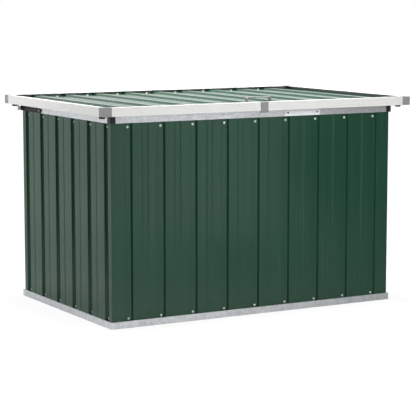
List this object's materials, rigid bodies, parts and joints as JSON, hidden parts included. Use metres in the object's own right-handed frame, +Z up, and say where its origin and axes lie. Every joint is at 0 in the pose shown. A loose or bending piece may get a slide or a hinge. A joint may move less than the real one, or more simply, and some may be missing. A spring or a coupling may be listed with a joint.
{
  "type": "garden storage box",
  "caption": "Low rectangular garden storage box of corrugated green sheet in galvanised rails, with a framed overhanging lid hinged at the rear on gas struts.",
  "frame": {"origin": "on the ground under the middle of the lid's outline, lid shut", "axes": "+X to the right seen from the front, +Y to the rear where the hinge is, +Z up"},
  "size_m": [1.49, 0.99, 0.9225],
  "materials": {
    "wall_sheet": "satin dark green coat on corrugated steel",
    "lid_sheet": "satin dark green coat on corrugated steel",
    "base_rail": "galvanised with a fine spangle",
    "upper_rail": "galvanised with a fine spangle",
    "splice": "bright galvanised",
    "bracket": "zinc plated",
    "lid_frame": "white powder coat",
    "grey_plastic": "matte grey",
    "black_plastic": "matte black",
    "hinge_bar": "black coat",
    "hinge_steel": "zinc plated",
    "light_screw": "light plated head",
    "dark_screw": "dark coat",
    "strut_tube": "black coat",
    "strut_rod": "polished"
  },
  "bodies": {
    "box": {"base_corner_angles": "bracket", "base_rail_front": "base_rail", "base_rail_left": "base_rail", "base_rail_rear": "base_rail", "base_rail_right": "base_rail", "corner_blocks": "black_plastic", "hinge_bar_left": "hinge_bar", "hinge_bar_right": "hinge_bar", "hinge_bar_screws": "light_screw", "hinge_pins": "hinge_steel", "rail_splices": "splice", "splice_screws": "dark_screw", "strut_brackets": "bracket", "upper_rail_front_long": "upper_rail", "upper_rail_front_short": "upper_rail", "upper_rail_left": "upper_rail", "upper_rail_rear_long": "upper_rail", "upper_rail_rear_short": "upper_rail", "upper_rail_right": "upper_rail", "wall_front_left": "wall_sheet", "wall_front_middle": "wall_sheet", "wall_front_right": "wall_sheet", "wall_left_front": "wall_sheet", "wall_left_rear": "wall_sheet", "wall_rear_left": "wall_sheet", "wall_rear_middle": "wall_sheet", "wall_rear_right": "wall_sheet", "wall_right_front": "wall_sheet", "wall_right_rear": "wall_sheet", "wall_screws_bottom": "light_screw", "wall_screws_top": "light_screw"},
    "lid": {"hinge_ears": "lid_frame", "lid_corner_caps": "black_plastic", "lid_corner_front_left": "grey_plastic", "lid_corner_front_right": "grey_plastic", "lid_corner_rear_left": "grey_plastic", "lid_corner_rear_right": "grey_plastic", "lid_frame_front_left": "lid_frame", "lid_frame_front_right": "lid_frame", "lid_frame_left": "lid_frame", "lid_frame_rear_left": "lid_frame", "lid_frame_rear_right": "lid_frame", "lid_frame_right": "lid_frame", "lid_handle": "grey_plastic", "lid_joint_front": "grey_plastic", "lid_joint_rear": "grey_plastic", "lid_rail_front": "upper_rail", "lid_rail_rear": "upper_rail", "lid_screws": "light_screw", "lid_sheet_left": "lid_sheet", "lid_sheet_middle": "lid_sheet", "lid_sheet_right": "lid_sheet", "strut_tabs": "bracket"},
    "strut_rod_left": {"strut_rod_left": "strut_rod"},
    "strut_rod_right": {"strut_rod_right": "strut_rod"},
    "strut_tube_left": {"strut_tube_left": "strut_tube"},
    "strut_tube_right": {"strut_tube_right": "strut_tube"}
  },
  "joints": [
    {"name": "lid_hinge", "type": "hinge", "parent": "box", "child": "lid", "pos_m": [0, 0.445, 0.8457], "axis": [-1, 0, 0], "range_deg": [0, 80]},
    {"name": "strut_swing_left", "type": "hinge", "parent": "box", "child": "strut_tube_left", "pos_m": [-0.6455, 0.37, 0.8007], "axis": [-1, 0, 0], "range_deg": [0, 81.4]},
    {"name": "strut_slide_left", "type": "slide", "parent": "strut_tube_left", "child": "strut_rod_left", "axis": [0, -0.9614, 0.2752], "range_m": [0, 0.1128]},
    {"name": "strut_swing_right", "type": "hinge", "parent": "box", "child": "strut_tube_right", "pos_m": [0.6455, 0.37, 0.8007], "axis": [-1, 0, 0], "range_deg": [0, 81.4]},
    {"name": "strut_slide_right", "type": "slide", "parent": "strut_tube_right", "child": "strut_rod_right", "axis": [0, -0.9614, 0.2752], "range_m": [0, 0.1128]}
  ],
  "couplings": [
    {"joint": "strut_swing_left", "follows": "lid_hinge", "ratio": 1.0114},
    {"joint": "strut_slide_left", "follows": "lid_hinge", "m_per_rad": 0.08045},
    {"joint": "strut_swing_right", "follows": "lid_hinge", "ratio": 1.0114},
    {"joint": "strut_slide_right", "follows": "lid_hinge", "m_per_rad": 0.08045}
  ]
}
